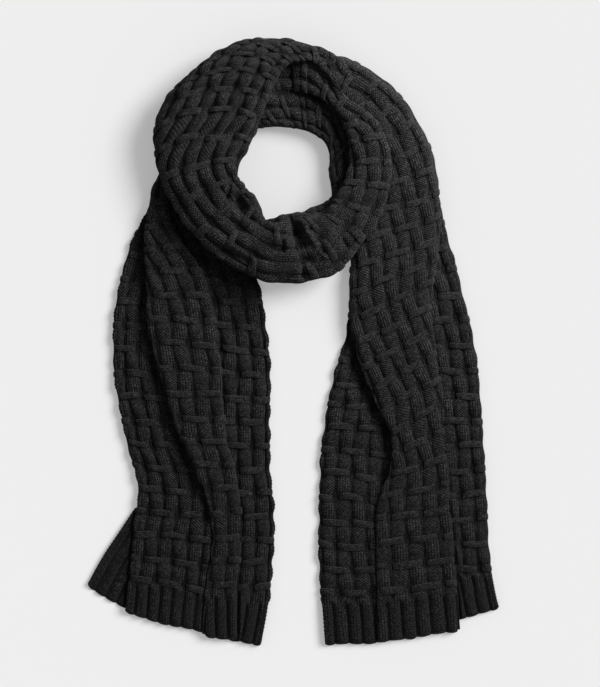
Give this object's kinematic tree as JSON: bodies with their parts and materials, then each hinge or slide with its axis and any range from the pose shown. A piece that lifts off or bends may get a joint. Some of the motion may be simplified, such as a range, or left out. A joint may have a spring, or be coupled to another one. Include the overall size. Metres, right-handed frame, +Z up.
{
  "type": "knitted scarf",
  "caption": "Chunky ribbed and basket-barred knitted scarf, laid flat as one neck loop with two overlapping tails.",
  "frame": {"origin": "on the surface below the middle of the laid scarf's bounding box", "axes": "+Y along the tails towards the neck loop, +Z up off the surface"},
  "size_m": [0.4973, 0.7297, 0.0546],
  "materials": {
    "knit": "matte brushed wool-blend knit"
  },
  "bodies": {
    "root": {"loop_left": "knit", "loop_front": "knit", "loop_right": "knit", "neck_under": "knit", "tail_left": "knit", "tail_left_inner": "knit", "tail_left_outer": "knit", "tail_left_corner": "knit", "tail_right": "knit", "tail_right_inner": "knit", "tail_right_edge": "knit"}
  },
  "joints": []
}
